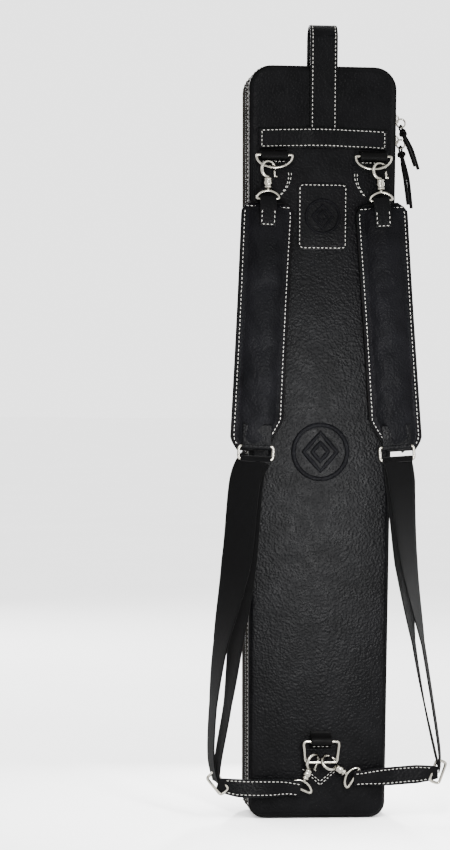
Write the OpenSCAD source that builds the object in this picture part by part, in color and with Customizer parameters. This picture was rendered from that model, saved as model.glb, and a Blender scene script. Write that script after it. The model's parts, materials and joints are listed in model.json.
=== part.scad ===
// Leather cue case: two hinged half shells, two front pockets, a carry handle and two shoulder straps.
// +Z is up, the pockets face -Y, the straps hang on +Y, and the origin is under the middle of the base.

/* [Case] */
// Height of the case without its handle
case_h = 862; // [800:1:900]
// Half width of the case at the top
half_top = 85.5; // [80:0.5:92]
// Half width of the case at the base
half_base = 79; // [74:0.5:84]
// Depth of each half shell, from the zip to its face
shell_d = 40; // [38:1:50]
// Corner radius of the outline at the top
r_top = 26; // [20:1:34]
// Corner radius of the outline at the base
r_base = 18; // [12:1:26]
// Rounding between a shell's face and its side wall
face_round = 9; // [5:0.5:11]
// Thickness of a shell's padded wall
wall = 6; // [4:0.5:7]

/* [Zip and spine] */
// Half width of the gap between the shells that the zip tapes fill
zip_gap = 4; // [3:0.5:5]
// Height of the lower end of the leather spine
spine_lo = 95; // [80:1:150]
// Height of the upper end of the leather spine
spine_hi = 768; // [700:1:790]

/* [Cue channels] */
// Radius of a butt channel
butt_r = 15.5; // [14:0.5:16]
// Distance between butt channels
butt_pitch = 42; // [36:1:44]
// Radius of a shaft channel
shaft_r = 9.5; // [8:0.5:10]
// Distance between shaft channels
shaft_pitch = 23; // [21:0.5:24]
// Length of the channels
channel_l = 770; // [700:5:790]

/* [Pockets] */
// Width of a pocket door
door_w = 121; // [100:1:130]
// Height of the upper pocket door
upper_h = 226; // [200:1:240]
// Height of the lower pocket door
lower_h = 532; // [480:1:545]
// How far a pocket base flares past its door at the shell
flare = 7; // [3:0.5:10]
// Depth of a pocket base
base_d = 16; // [12:1:20]
// Depth of a pocket door
door_d = 18; // [14:1:24]

/* [Straps] */
// Width of a shoulder pad
pad_w = 58; // [50:1:75]
// Length of a shoulder pad
pad_l = 278; // [240:1:320]
// Thickness of a shoulder pad
pad_t = 10; // [6:1:14]
// Width of the webbing
web_w = 30; // [25:1:40]

/* [Hidden] */
leather = [0.09, 0.09, 0.1];
leather_2 = [0.16, 0.15, 0.15];
metal = [0.75, 0.75, 0.74];
grey = [0.4, 0.39, 0.36];
plush = [0.25, 0.25, 0.27];

arc_n = 6;                       // steps in each corner arc
mid_h = case_h / 2;
mid_w = (half_top + half_base) / 2;
lean = atan((half_top - half_base) / case_h);  // how far a side wall leans out
hinge_in = 1;                    // hinge axis of the spine, inside the side wall
roll_r = 3;
insert_gap = 0.3;
insert_lo = zip_gap + 1;         // open face of an insert
channel_z = 32;                  // foot of the channels
strap_t = 1.5;
tape_in = 1.2;
tape_t = 1.8;
play = 0.3;                      // clearance between pieces that move apart

upper_z = 588;                   // foot of the upper door
lower_z = 6;                     // foot of the lower door
door_r = 20;
door_round = 8;
door_wall = 4;
base_y = -shell_d;
split_y = base_y - base_d;       // plane where a pocket opens
hinge_x = -door_w / 2 + 0.8;

ring_y = 50.5;                   // middle plane of the strap hardware
ring_t = 3;                      // thickness of the hardware
bar = 3.2;                       // width of a ring's bar
ring_z = 758;                    // strap hinge axis
keeper_x = 57;
keeper_w = 31;
hook_turn = 30;                  // turn of an upper hook about its own length
low_turn = 44;                   // and of a lower one
pad_top_z = 703.6;
pad_ring_h = 18;

// Points of an arc
function arc(cx, cz, r, a0, a1, n = arc_n) =
    [for (i = [0:n]) let (a = a0 + (a1 - a0) * i / n) [cx + r * cos(a), cz + r * sin(a)]];
// Half width of the case at a height
function half_w(z) = half_base + (half_top - half_base) * z / case_h;
// The case's outline, moved in by d
function outline(d) =
    let (bx = half_w(r_base) - r_base, tx = half_w(case_h - r_top) - r_top, tz = case_h - r_top)
    concat(arc(-bx, r_base, r_base - d, 180, 270), arc(bx, r_base, r_base - d, 270, 360),
           arc(tx, tz, r_top - d, 0, 90), arc(-tx, tz, r_top - d, 90, 180));
// A rounded rectangle between two corners
function rrect(x0, x1, z0, z1, r, n = arc_n) =
    concat(arc(x0 + r, z0 + r, r, 180, 270, n), arc(x1 - r, z0 + r, r, 270, 360, n),
           arc(x1 - r, z1 - r, r, 0, 90, n), arc(x0 + r, z1 - r, r, 90, 180, n));
// A point, and a direction, on a curve with four control points
function bezier(p, t) = pow(1 - t, 3) * p[0] + 3 * t * pow(1 - t, 2) * p[1]
    + 3 * t * t * (1 - t) * p[2] + pow(t, 3) * p[3];
function slope(p, t) = let (v = bezier(p, t + 0.01) - bezier(p, t - 0.01)) v / norm(v);
// A band of width w0 to w1 along a curve
function band(p, w0, w1, n = 16) =
    let (side = function (s) [for (i = [0:n]) let (t = i / n, v = slope(p, t), w = w0 + (w1 - w0) * t)
        bezier(p, t) + s * w / 2 * [-v[1], v[0]]])
    concat(side(1), [for (i = [n:-1:0]) side(-1)[i]]);

// Puts an XZ outline between two planes across Y
module plate(points, y0, y1)
    translate([0, y1, 0]) rotate([90, 0, 0]) linear_extrude(y1 - y0) polygon(points);
// A frame between two XZ outlines
module frame_plate(outer, inner, y0, y1)
    difference() {
        plate(outer, y0, y1);
        plate(inner, y0 - 1, y1 + 1);
    }
module at_left_wall(inset, y) // follows the leaning left wall
    translate([-mid_w + inset, y, mid_h]) rotate([0, -lean, 0]) children();

// Half shells, drawn at +Y
module shell_half()
    difference() {
        hull() {
            plate(outline(0), zip_gap, shell_d - face_round);
            plate(outline(face_round * 0.29), zip_gap + 1, shell_d - face_round * 0.29);
            plate(outline(face_round), zip_gap + 1, shell_d);
        }
        plate(outline(wall), zip_gap - 1, shell_d - wall + 1);
    }
module insert_half(r, pitch, count)
    difference() {
        plate(outline(wall + insert_gap), insert_lo, shell_d - wall + 1 - insert_gap);
        for (i = [0:count - 1]) translate([(i - (count - 1) / 2) * pitch, 0, channel_z]) {
            translate([0, shell_d - wall - r - 1.5, 0]) cylinder(r = r, h = channel_l, $fn = 48);
            translate([-r, insert_lo - 1, 0]) cube([2 * r, shell_d - wall - r - insert_lo - 0.5, channel_l]);
        }
    }
module strap_across(z, w)
    translate([-72, insert_lo - strap_t, z - w / 2]) cube([144, strap_t, w]);
module zip_half()
    difference() {
        frame_plate(outline(tape_in), outline(tape_in + tape_t), 0.25, zip_gap);
        translate([-half_top - 5, -1, spine_lo]) cube([40, zip_gap + 2, spine_hi - spine_lo]);
    }

module rear_shell() color(leather) shell_half();
module butt_insert() color(plush) insert_half(butt_r, butt_pitch, 3);
module butt_strap() color(leather_2) strap_across(600, 50);
module rear_zip_tape() color(grey) zip_half();
module spine_roll()
    color(leather_2) at_left_wall(hinge_in, 0) {
        translate([0, 0, spine_lo - mid_h + 1]) cylinder(r = roll_r, h = spine_hi - spine_lo - 2, $fn = 32);
        translate([-0.5, roll_r - 1, spine_lo - mid_h + 1]) cube([3, zip_gap - roll_r + 1, spine_hi - spine_lo - 2]);
    }
module front_shell() color(leather) mirror([0, 1, 0]) shell_half();
module shaft_insert() color(plush) mirror([0, 1, 0]) insert_half(shaft_r, shaft_pitch, 6);
module shaft_strap() color(leather_2) mirror([0, 1, 0]) strap_across(600, 50);
module front_zip_tape() color(grey) mirror([0, 1, 0]) zip_half();

// Carry handle: a leather strap that arches over the top of the rear shell
handle_w = 32;
handle_t = 3;
handle_y = [10, 43];             // outer faces of the two legs
handle_top = 910;
module carry_handle() {
    r = (handle_y[1] - handle_y[0]) / 2;
    mid_y = handle_y[0] + r;
    crown_z = handle_top - r;
    foot = 770;
    side = concat([[handle_y[1], foot]], arc(mid_y, crown_z, r, 0, 180, 16), [[handle_y[0], case_h]],
                  [[handle_y[0] + handle_t, case_h]], arc(mid_y, crown_z, r - handle_t, 180, 0, 16),
                  [[handle_y[1] - handle_t, foot]]);
    color(leather) translate([-handle_w / 2, 0, 0]) rotate([90, 0, 90]) linear_extrude(handle_w) polygon(side);
}
module cross_patch()
    color(leather) difference() {
        plate(rrect(-75, 75, 766, 791, 5), shell_d, 46);
        translate([-handle_w / 2 - play, shell_d - 1, 760]) cube([handle_w + 2 * play, 4.3, 40]);
    }
module badge_patch() color(leather_2) plate(rrect(-29, 29, 651, 728, 7), shell_d, shell_d + 1.6);

// Leather keeper that wraps a ring's bar and is sewn to the back
module keeper(w, up)
    difference() {
        union() {
            rotate([0, 90, 0]) cylinder(r = 5, h = w, center = true, $fn = 32);
            translate([-w / 2, shell_d - ring_y, min(0, up)]) cube([w, 3.5, abs(up)]);
            translate([-w / 2, shell_d - ring_y, -3.5]) cube([w, ring_y - shell_d - 3.5, 7]);
        }
        rotate([0, 90, 0]) cylinder(r = 3.2, h = w + 2, center = true, $fn = 32);
    }
module keeper_left() color(leather) translate([keeper_x, ring_y, ring_z]) keeper(keeper_w, 7.5);
module keeper_right() color(leather) translate([-keeper_x, ring_y, ring_z]) keeper(keeper_w, 7.5);
// Curved reinforcement under each hook
module anchor(side)
    plate([for (p = concat([[34, 748], [36, 722]], arc(58, 716, 22, 180, 360, 10), [[80, 748]]))
        [side * p[0], p[1]]], shell_d, shell_d + 1.2);
module anchor_left() color(leather_2) anchor(1);
module anchor_right() color(leather_2) anchor(-1);

// Hardware, drawn flat in XZ about its own middle
module rect_ring(w, h, taper = 0)
    plate_ring([[-w / 2, -h / 2], [w / 2, -h / 2], [w / 2 - taper, h / 2], [-w / 2 + taper, h / 2]]);
module plate_ring(p)
    translate([0, ring_t / 2, 0]) rotate([90, 0, 0]) linear_extrude(ring_t) difference() {
        polygon(p);
        polygon([for (q = p) [q[0] - sign(q[0]) * bar, q[1] - sign(q[1]) * bar]]);
    }
function bow(w, h) = [for (i = [0:18]) [w * cos(180 + 10 * i), -bar / 2 + h * sin(180 + 10 * i)]];
module d_ring()
    translate([0, ring_t / 2, 0]) rotate([90, 0, 0]) linear_extrude(ring_t) difference() {
        polygon(concat([[22, bar / 2]], [[-22, bar / 2]], bow(22, 14)));
        polygon(bow(22 - bar, 14 - bar));
    }
hook_r = 9;
hook_wire = 1.6;
module hook(turn) { // its closed bow is about the origin, and its eye hangs below
    rotate([0, 0, turn]) translate([0, ring_t / 2, 0]) rotate([90, 0, 0]) linear_extrude(ring_t)
        polygon(concat(arc(0, 0, hook_r + hook_wire, -90, 170, 16), arc(0, 0, hook_r - hook_wire, 170, -90, 16)));
    translate([0, 0, -19]) cylinder(r = 3.6, h = 11, $fn = 32);
    translate([0, 0, -24]) cylinder(r = 2, h = 6, $fn = 24);
    translate([0, 0, -29]) rect_ring(28, 12);
}
module trigger(turn) // the sprung gate that closes the bow
    rotate([0, 0, turn]) {
        translate([-hook_r, 0, -9.5]) cylinder(r = 1.4, h = 9.5, $fn = 20);
        translate([-hook_r - 1, 0, -8]) rotate([0, 90, 0]) cylinder(r = 1.4, h = 3, center = true, $fn = 20);
    }

// Shoulder strap parts
function pad_place(side) = side > 0 ? [64, pad_top_z, -2.3] : [-66.3, pad_top_z, 4.2];
module on_pad(side) {
    p = pad_place(side);
    translate([p[0], ring_y, p[1]]) rotate([0, p[2], 0]) children();
}
module hook_at(side) translate([side * 64, ring_y, ring_z - 16]) rotate([0, side > 0 ? 0 : 4, 0]) children();
module pad_body()
    difference() {
        union() {
            plate(concat([[-11, -pad_l], [11, -pad_l], [pad_w / 2 - 4, -pad_l + 34]],
                         arc(pad_w / 2 - 22, -22, 22, 0, 75, 6), arc(-pad_w / 2 + 22, -22, 22, 105, 180, 6),
                         [[-pad_w / 2 + 4, -pad_l + 34]]), -2.3, pad_t - 2.3);
            translate([0, 0, -pad_l]) rotate([0, 90, 0]) cylinder(r = 4.6, h = 22, center = true, $fn = 32);
        }
        translate([0, 0, -pad_l]) rotate([0, 90, 0]) cylinder(r = 3, h = 60, center = true, $fn = 32);
        plate([[-40, -pad_l - 9], [40, -pad_l - 9], [40, -pad_l - 0], [-40, -pad_l - 0]], -7, -3.5);
    }
module pad_fold() // leather fold over the hook's eye, on the pad's face
    difference() {
        union() {
            plate([[-9, 9], [9, 9], [11, -26], [-11, -26]], pad_t - 2.3, pad_t);
            translate([0, 0, 5]) rotate([0, 90, 0]) cylinder(r = 5.2, h = 17, center = true, $fn = 32);
            plate([[-8.5, 5], [8.5, 5], [8.5, 0.4], [-8.5, 0.4]], 1, pad_t);
        }
        translate([0, 0, 5]) rotate([0, 90, 0]) cylinder(r = 3.3, h = 40, center = true, $fn = 32);
        translate([-20, -7, -30]) cube([40, 7 + pad_t - 2.3, 30]);
    }
module d_ring_left() color(metal) translate([keeper_x, ring_y, ring_z]) d_ring();
module d_ring_right() color(metal) translate([-keeper_x, ring_y, ring_z]) d_ring();
module hook_left() color(metal) hook_at(1) hook(hook_turn);
module hook_right() color(metal) hook_at(-1) hook(hook_turn);
module trigger_left() color(metal) hook_at(1) trigger(hook_turn);
module trigger_right() color(metal) hook_at(-1) trigger(hook_turn);
module pad_tab_left() color(leather) on_pad(1) pad_fold();
module pad_tab_right() color(leather) on_pad(-1) pad_fold();
module pad_left() color(leather) on_pad(1) pad_body();
module pad_right() color(leather) on_pad(-1) pad_body();
module pad_ring_at(side) on_pad(side) translate([0, 0, -pad_l + 2 - pad_ring_h / 2]) rect_ring(42, pad_ring_h);
module pad_ring_left() color(metal) pad_ring_at(1);
module pad_ring_right() color(metal) pad_ring_at(-1);

// Webbing, adjusters and leather ends below the pads
web_left = [[77, 404], [92, 300], [112, 180], [120, 66]];
web_right = [[-88, 403], [-98, 300], [-122, 190], [-138, 76]];
module webbing(path) plate(band(path, web_w, 16), ring_y - 2.5, ring_y + 2.5);
module webbing_left() color(leather_2) webbing(web_left);
module webbing_right() color(leather_2) webbing(web_right);
module glide_left() color(metal) translate([116, ring_y, 42]) rotate([0, 40, 0]) rect_ring(14, 28);
module glide_right() color(metal) translate([-138, ring_y, 54]) rotate([0, -20, 0]) rect_ring(14, 28);
tab_left = [[97, 31], [76, 30], [52, 30], [31, 24]];
tab_right = [[-122, 43], [-96, 40], [-70, 44], [-48, 48]];
module end_tab(path) plate(band(path, 16, 20, 10), ring_y - 2, ring_y + 2);
module end_tab_left() color(leather) end_tab(tab_left);
module end_tab_right() color(leather) end_tab(tab_right);
module low_hook_at(side)
    translate(side > 0 ? [7, ring_y, 66] : [-12, ring_y, 65]) rotate([0, side > 0 ? -24 : 57, 0]) children();
module low_hook_left() color(metal) low_hook_at(1) hook(low_turn);
module low_hook_right() color(metal) low_hook_at(-1) hook(low_turn);
module low_trigger_left() color(metal) low_hook_at(1) trigger(low_turn);
module low_trigger_right() color(metal) low_hook_at(-1) trigger(low_turn);
module lower_ring() color(metal) translate([-3, ring_y, 77]) rect_ring(38, 27, -3);
module lower_keeper() color(leather) translate([-3, ring_y, 88.9]) keeper(24, 12);
module lower_patch()
    color(leather_2) plate([[-27, 85], [-27, 66], [-3, 34], [21, 66], [21, 85]], shell_d, shell_d + 1.2);

// Pockets: a flared base on the front shell, and a hollow door that opens on its left edge
function pocket_outline(z, h, grow) =
    rrect(-door_w / 2 - grow, door_w / 2 + grow, z - grow, z + h + grow, door_r + grow);
module pocket_base(z, h)
    difference() {
        hull() {
            plate(pocket_outline(z, h, min(flare, z - 1)), base_y - 1, base_y);
            plate(pocket_outline(z, h, 0), split_y + play, split_y + play + 1);
        }
        plate(pocket_outline(z, h, -door_wall), split_y - 1, base_y + 1);
    }
// Piping along the hinge side of a pocket's mouth
module hinge_piping(z, h)
    translate([hinge_x, split_y, z + door_r + 12]) cylinder(r = 1, h = h - 2 * door_r - 60, $fn = 24);
module pocket_door(z, h)
    difference() {
        hull() {
            plate(pocket_outline(z, h, 0), split_y - door_d + door_round, split_y - 2);
            plate(pocket_outline(z, h, -door_round * 0.29), split_y - door_d + door_round * 0.29, split_y - 3);
            plate(pocket_outline(z, h, -door_round), split_y - door_d, split_y - 3);
        }
        plate(pocket_outline(z, h, -door_wall), split_y - door_d + door_wall, split_y);
    }
module upper_base() color(leather) { pocket_base(upper_z, upper_h); hinge_piping(upper_z, upper_h); }
module lower_base() color(leather) { pocket_base(lower_z, lower_h); hinge_piping(lower_z, lower_h); }
module upper_door() color(leather_2) pocket_door(upper_z, upper_h);
module lower_door() color(leather_2) pocket_door(lower_z, lower_h);

// Zip sliders on the left side, each with a ring, a knot and a leather lace
slider_main_z = [782, 806];
slider_upper_z = 777;
slider_lower_z = [458, 482];
main_y = 9;
pocket_y = split_y + 7;
function wall_x(z) = -half_w(z);
base_x = -door_w / 2 - 5.6;
pull_x = -10;                    // axis of the pin that a pull's ring hangs on
pull_z = -5;
lug_y = 1.3;                     // inner face of the lugs that hold the pin
module slider() {
    translate([-4.5, -4.5, -6]) cube([4.2, 9, 12]);
    for (y0 = [-lug_y - 1.2, lug_y])
        plate([[-4.4, -1], [-4.4, -7], [pull_x - 1.6, pull_z - 1.6], [pull_x - 1.6, pull_z + 1.6]], y0, y0 + 1.2);
    translate([pull_x, 0, pull_z]) rotate([90, 0, 0]) cylinder(r = 1.2, h = 2 * lug_y + 2, center = true, $fn = 20);
}
// Ring about the slider's pin, then a lace of length l that leans out by a and aside by b
module pull(l, a, b) {
    translate([pull_x, 0, pull_z]) {
        rotate([90, 0, 0]) linear_extrude(2, center = true) difference() {
            circle(r = 5, $fn = 32);
            circle(r = 3.4, $fn = 32);
        }
        translate([0, 0, -8]) sphere(r = 4, $fn = 24);
        translate([0, 0, -9]) rotate([b, a, 0]) translate([0, 0, -l]) cylinder(r = 2.2, h = l, $fn = 20);
    }
}
module main_at(i) translate([wall_x(slider_main_z[i]), main_y, slider_main_z[i]]) children();
module upper_at() translate([base_x, pocket_y, slider_upper_z]) children();
module lower_at(i) translate([base_x, pocket_y, slider_lower_z[i]]) children();
module main_slider_a() color(metal) main_at(0) slider();
module main_slider_b() color(metal) main_at(1) slider();
module main_pull_a() color(metal) main_at(0) pull(70, 7, 12);
module main_pull_b() color(metal) main_at(1) pull(58, 14, 30);
module upper_slider() color(metal) upper_at() slider();
module upper_pull() color(metal) upper_at() pull(62, 16, 0);
module lower_slider_a() color(metal) lower_at(0) slider();
module lower_slider_b() color(metal) lower_at(1) slider();
module lower_pull_a() color(metal) lower_at(0) pull(110, 0, 0);
module lower_pull_b() color(metal) lower_at(1) pull(70, 34, -25);

rear_shell();
butt_insert();
butt_strap();
rear_zip_tape();
spine_roll();
carry_handle();
cross_patch();
badge_patch();
keeper_left();
keeper_right();
anchor_left();
anchor_right();
lower_patch();
lower_keeper();
lower_ring();
webbing_left();
webbing_right();
glide_left();
glide_right();
end_tab_left();
end_tab_right();
low_hook_left();
low_hook_right();
low_trigger_left();
low_trigger_right();
d_ring_left();
hook_left();
trigger_left();
pad_tab_left();
pad_left();
pad_ring_left();
d_ring_right();
hook_right();
trigger_right();
pad_tab_right();
pad_right();
pad_ring_right();
front_shell();
shaft_insert();
shaft_strap();
front_zip_tape();
upper_base();
lower_base();
upper_door();
lower_door();
main_slider_a();
main_pull_a();
main_slider_b();
main_pull_b();
upper_slider();
upper_pull();
lower_slider_a();
lower_pull_a();
lower_slider_b();
lower_pull_b();
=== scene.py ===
import json
import math

import bmesh
import bpy
from mathutils import Matrix, Vector, noise


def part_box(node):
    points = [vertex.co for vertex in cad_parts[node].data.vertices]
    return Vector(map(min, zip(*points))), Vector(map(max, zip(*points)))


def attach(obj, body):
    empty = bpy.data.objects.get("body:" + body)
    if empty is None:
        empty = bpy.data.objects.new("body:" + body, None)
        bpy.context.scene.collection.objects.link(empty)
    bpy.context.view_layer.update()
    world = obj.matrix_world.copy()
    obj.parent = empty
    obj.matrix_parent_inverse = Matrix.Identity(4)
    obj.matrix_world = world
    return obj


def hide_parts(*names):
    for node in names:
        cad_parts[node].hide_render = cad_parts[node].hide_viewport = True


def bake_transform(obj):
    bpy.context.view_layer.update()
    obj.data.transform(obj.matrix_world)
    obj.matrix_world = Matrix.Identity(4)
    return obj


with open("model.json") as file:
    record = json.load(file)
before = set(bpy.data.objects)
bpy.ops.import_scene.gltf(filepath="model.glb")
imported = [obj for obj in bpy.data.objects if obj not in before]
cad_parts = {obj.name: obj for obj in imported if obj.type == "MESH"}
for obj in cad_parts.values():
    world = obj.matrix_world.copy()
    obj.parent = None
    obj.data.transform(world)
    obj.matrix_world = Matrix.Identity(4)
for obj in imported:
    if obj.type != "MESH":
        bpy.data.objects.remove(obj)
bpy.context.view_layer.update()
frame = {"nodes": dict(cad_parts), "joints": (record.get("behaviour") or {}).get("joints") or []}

MM = 0.001
X, Y, Z = Vector((1, 0, 0)), Vector((0, 1, 0)), Vector((0, 0, 1))


# ---------------------------------------------------------------- sizes, from the frame
def middle(node):
    low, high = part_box(node)
    return (Vector(low) + Vector(high)) / 2


def low(node):
    return Vector(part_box(node)[0])


def high(node):
    return Vector(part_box(node)[1])


CASE_H = high("rear_shell").z
HALF_TOP = high("rear_shell").x
HALF_BASE = HALF_TOP - 6.5 * MM  # the side walls lean out this far from base to top
BACK_Y = high("rear_shell").y
FRONT_Y = low("front_shell").y
ZIP_GAP = low("rear_shell").y
WALL = 6 * MM
R_TOP, R_BASE = 26 * MM, 18 * MM
SPINE_LOW, SPINE_HIGH = low("spine_roll").z, high("spine_roll").z
JOINTS = {j["name"]: j for j in frame["joints"]}
HALVES = (("rear", 1, "rear_half"), ("front", -1, "front_cover"))
SIDES = {"left": 1, "right": -1}
SENSOR = 36


def wall_x(z):
    """The case's leaning -X wall at a height."""
    return -(HALF_BASE + (HALF_TOP - HALF_BASE) * z / CASE_H)


def polar(degrees, r=1.0):
    a = math.radians(degrees)
    return r * math.cos(a), r * math.sin(a)


def arc_yz(centre, r, degrees):
    """Points round the X axis, from +Y towards +Z."""
    return [centre + Vector((0, *polar(k, r))) for k in degrees]


# ---------------------------------------------------------------- camera
def add_camera():
    """The case's back fills the right of the picture, as seen from a little to its +X side."""
    distance = 3.0
    view_h = 965.6 * MM  # what the picture shows from top to bottom, at the back panel
    aim = Vector((110 * MM, BACK_Y, 450 * MM))
    data = bpy.data.cameras.new("camera")
    data.sensor_fit = "VERTICAL"
    data.sensor_height = SENSOR
    data.lens = SENSOR * distance / view_h
    cam = bpy.data.objects.new("camera", data)
    bpy.context.scene.collection.objects.link(cam)
    eye = aim + Vector((0.30, distance, 0.03))
    cam.location = eye
    cam.rotation_euler = (aim - eye).to_track_quat("-Z", "Y").to_euler()
    cam.rotation_euler.rotate_axis("Z", math.radians(0.5))
    bpy.context.scene.camera = cam


add_camera()


# ---------------------------------------------------------------- materials
class Nodes:
    """A new material's node tree, with short calls to add to it."""

    def __init__(self, name):
        self.material = bpy.data.materials.new(name)
        self.material.use_nodes = True
        self.tree = self.material.node_tree
        self.shader = self.tree.nodes["Principled BSDF"]
        self.coords = self.tree.nodes.new("ShaderNodeTexCoord")

    def add(self, kind, **sockets):
        node = self.tree.nodes.new(kind)
        for key, value in sockets.items():
            node.inputs[key.replace("_", " ")].default_value = value
        return node

    def link(self, a, b):
        self.tree.links.new(a, b)

    def noise(self, scale, detail):
        node = self.add("ShaderNodeTexNoise", Scale=scale, Detail=detail)
        self.link(self.coords.outputs["Object"], node.inputs["Vector"])
        return node.outputs["Fac"]

    def cells(self, scale, feature):
        node = self.add("ShaderNodeTexVoronoi", Scale=scale)
        node.feature = feature
        self.link(self.coords.outputs["Object"], node.inputs["Vector"])
        return node.outputs["Distance"]

    def ramp(self, source, a, b, low=0.3, high=0.7):
        node = self.add("ShaderNodeMapRange")
        for key, value in (("From Min", low), ("From Max", high), ("To Min", a), ("To Max", b)):
            node.inputs[key].default_value = value
        self.link(source, node.inputs["Value"])
        return node.outputs["Result"]

    def tint(self, source, dark, light, low=0.3, high=0.7):
        node = self.add("ShaderNodeValToRGB")
        node.color_ramp.elements[0].position = low
        node.color_ramp.elements[1].position = high
        node.color_ramp.elements[0].color = (*dark, 1)
        node.color_ramp.elements[1].color = (*light, 1)
        self.link(source, node.inputs["Fac"])
        self.link(node.outputs["Color"], self.shader.inputs["Base Color"])

    def bump(self, *layers):
        """Stacks (height, distance in metres) layers into the shader's normal."""
        normal = None
        for height, distance in layers:
            node = self.add("ShaderNodeBump", Distance=distance, Strength=1.0)
            self.link(height, node.inputs["Height"])
            if normal:
                self.link(normal, node.inputs["Normal"])
            normal = node.outputs["Normal"]
        self.link(normal, self.shader.inputs["Normal"])

    def set(self, **sockets):
        for key, value in sockets.items():
            self.shader.inputs[key.replace("_", " ")].default_value = value


def leather(name, dark, light, grain, grain_depth, rough, creases=0.00018, shine=0.014):
    """Black leather: cells of grain, fine pores, and broad soft creases."""
    n = Nodes(name)
    broad = n.noise(28, 4)
    n.tint(broad, dark, light)
    n.link(n.ramp(n.noise(90, 4), rough - 0.07, rough + 0.09), n.shader.inputs["Roughness"])
    n.bump((broad, creases), (n.cells(grain, "SMOOTH_F1"), grain_depth),
           (n.noise(grain * 2.4, 2), grain_depth * 0.25))
    n.set(Specular_IOR_Level=shine)
    return n.material


def metal(name, colour, rough):
    n = Nodes(name)
    smear = n.noise(260, 3)
    n.tint(smear, [c * 0.86 for c in colour], colour)
    n.link(n.ramp(smear, rough * 0.7, rough * 1.4), n.shader.inputs["Roughness"])
    n.bump((n.noise(700, 2), 0.00003))
    n.set(Metallic=1.0)
    return n.material


def weave(name, dark, light, across, along, rough, sheen):
    """Woven strap: ribs across the UV's V, and yarns along its U."""
    n = Nodes(name)
    split = n.add("ShaderNodeSeparateXYZ")
    n.link(n.coords.outputs["UV"], split.inputs["Vector"])

    def wave(axis, scale):
        times = n.add("ShaderNodeMath")
        times.operation = "MULTIPLY"
        times.inputs[1].default_value = scale
        n.link(split.outputs[axis], times.inputs[0])
        sine = n.add("ShaderNodeMath")
        sine.operation = "SINE"
        n.link(times.outputs[0], sine.inputs[0])
        return sine.outputs[0]

    ribs, yarns = wave("Y", across), wave("X", along)
    both = n.add("ShaderNodeMath")
    both.operation = "MULTIPLY"
    n.link(ribs, both.inputs[0])
    n.link(yarns, both.inputs[1])
    n.tint(both.outputs[0], dark, light, 0.0, 0.9)
    n.bump((both.outputs[0], 0.00012), (n.noise(900, 2), 0.00004))
    n.set(Roughness=rough, Sheen_Weight=sheen, Sheen_Roughness=0.45, Specular_IOR_Level=0.0)
    return n.material


def lining(name, dark, light):
    n = Nodes(name)
    pile = n.noise(1400, 3)
    n.tint(n.noise(45, 4), dark, light)
    n.bump((pile, 0.0004))
    n.set(Roughness=0.92, Sheen_Weight=0.06, Sheen_Roughness=0.5, Specular_IOR_Level=0.05)
    return n.material


def thread_material():
    n = Nodes("thread")
    twist = n.noise(1600, 2)
    n.tint(twist, (0.17, 0.167, 0.155), (0.29, 0.283, 0.262))
    n.bump((twist, 0.00008))
    n.set(Roughness=0.62)
    return n.material


SMOOTH = leather("smooth_leather", (0.0008, 0.0008, 0.0009), (0.0016, 0.0016, 0.0018),
                 420, 0.0006, 0.36, shine=0.023)
PEBBLED = leather("pebbled_leather", (0.0010, 0.0010, 0.0012), (0.0022, 0.0022, 0.0026),
                  430, 0.0008, 0.38, shine=0.012)
TRIM = leather("trim_leather", (0.0008, 0.0008, 0.0008), (0.0018, 0.0017, 0.0017), 800, 0.00014, 0.44, 0.0002)
# gusset leather: black leather whose paler diffuse tone is painted reflection of the light on the side walls;
# its own reflection is off
GUSSET_PAINTED_REFLECTION = leather("gusset_leather_painted_reflection", (0.006, 0.0056, 0.0052), (0.012, 0.011, 0.010),
                 700, 0.00014, 0.46, shine=0.0)
NICKEL = metal("nickel", (0.19, 0.181, 0.157), 0.17)
GUNMETAL = metal("gunmetal", (0.035, 0.035, 0.038), 0.34)
WEBBING = weave("nylon_webbing", (0.0008, 0.0008, 0.0008), (0.0030, 0.0030, 0.0032), 4200, 2600, 0.78, 0.03)
TAPE = weave("zip_tape", (0.012, 0.0115, 0.011), (0.030, 0.028, 0.026), 5200, 5200, 0.8, 0.03)
ELASTIC = weave("elastic", (0.003, 0.003, 0.003), (0.008, 0.008, 0.008), 3600, 3600, 0.8, 0.02)
PLUSH = lining("plush_lining", (0.012, 0.012, 0.014), (0.022, 0.022, 0.025))
THREAD = thread_material()


# ---------------------------------------------------------------- mesh builders
def piece(name, verts, faces, material, body, replaces, uvs):
    mesh = bpy.data.meshes.new(name)
    mesh.from_pydata([tuple(v) for v in verts], [], faces)
    if uvs:
        layer = mesh.uv_layers.new(name="UVMap")
        for loop in mesh.loops:
            layer.data[loop.index].uv = uvs[loop.vertex_index]
    mesh.materials.append(material)
    for polygon in mesh.polygons:
        polygon.use_smooth = True
    mesh.validate()
    obj = bpy.data.objects.new(name, mesh)
    bpy.context.scene.collection.objects.link(obj)
    if body:
        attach(obj, body)
    if replaces:
        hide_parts(*replaces)
    return obj


def outward(obj):
    """Makes a closed mesh's faces look outward."""
    bm = bmesh.new()
    bm.from_mesh(obj.data)
    bmesh.ops.recalc_face_normals(bm, faces=bm.faces)
    bm.to_mesh(obj.data)
    bm.free()
    return obj


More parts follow.
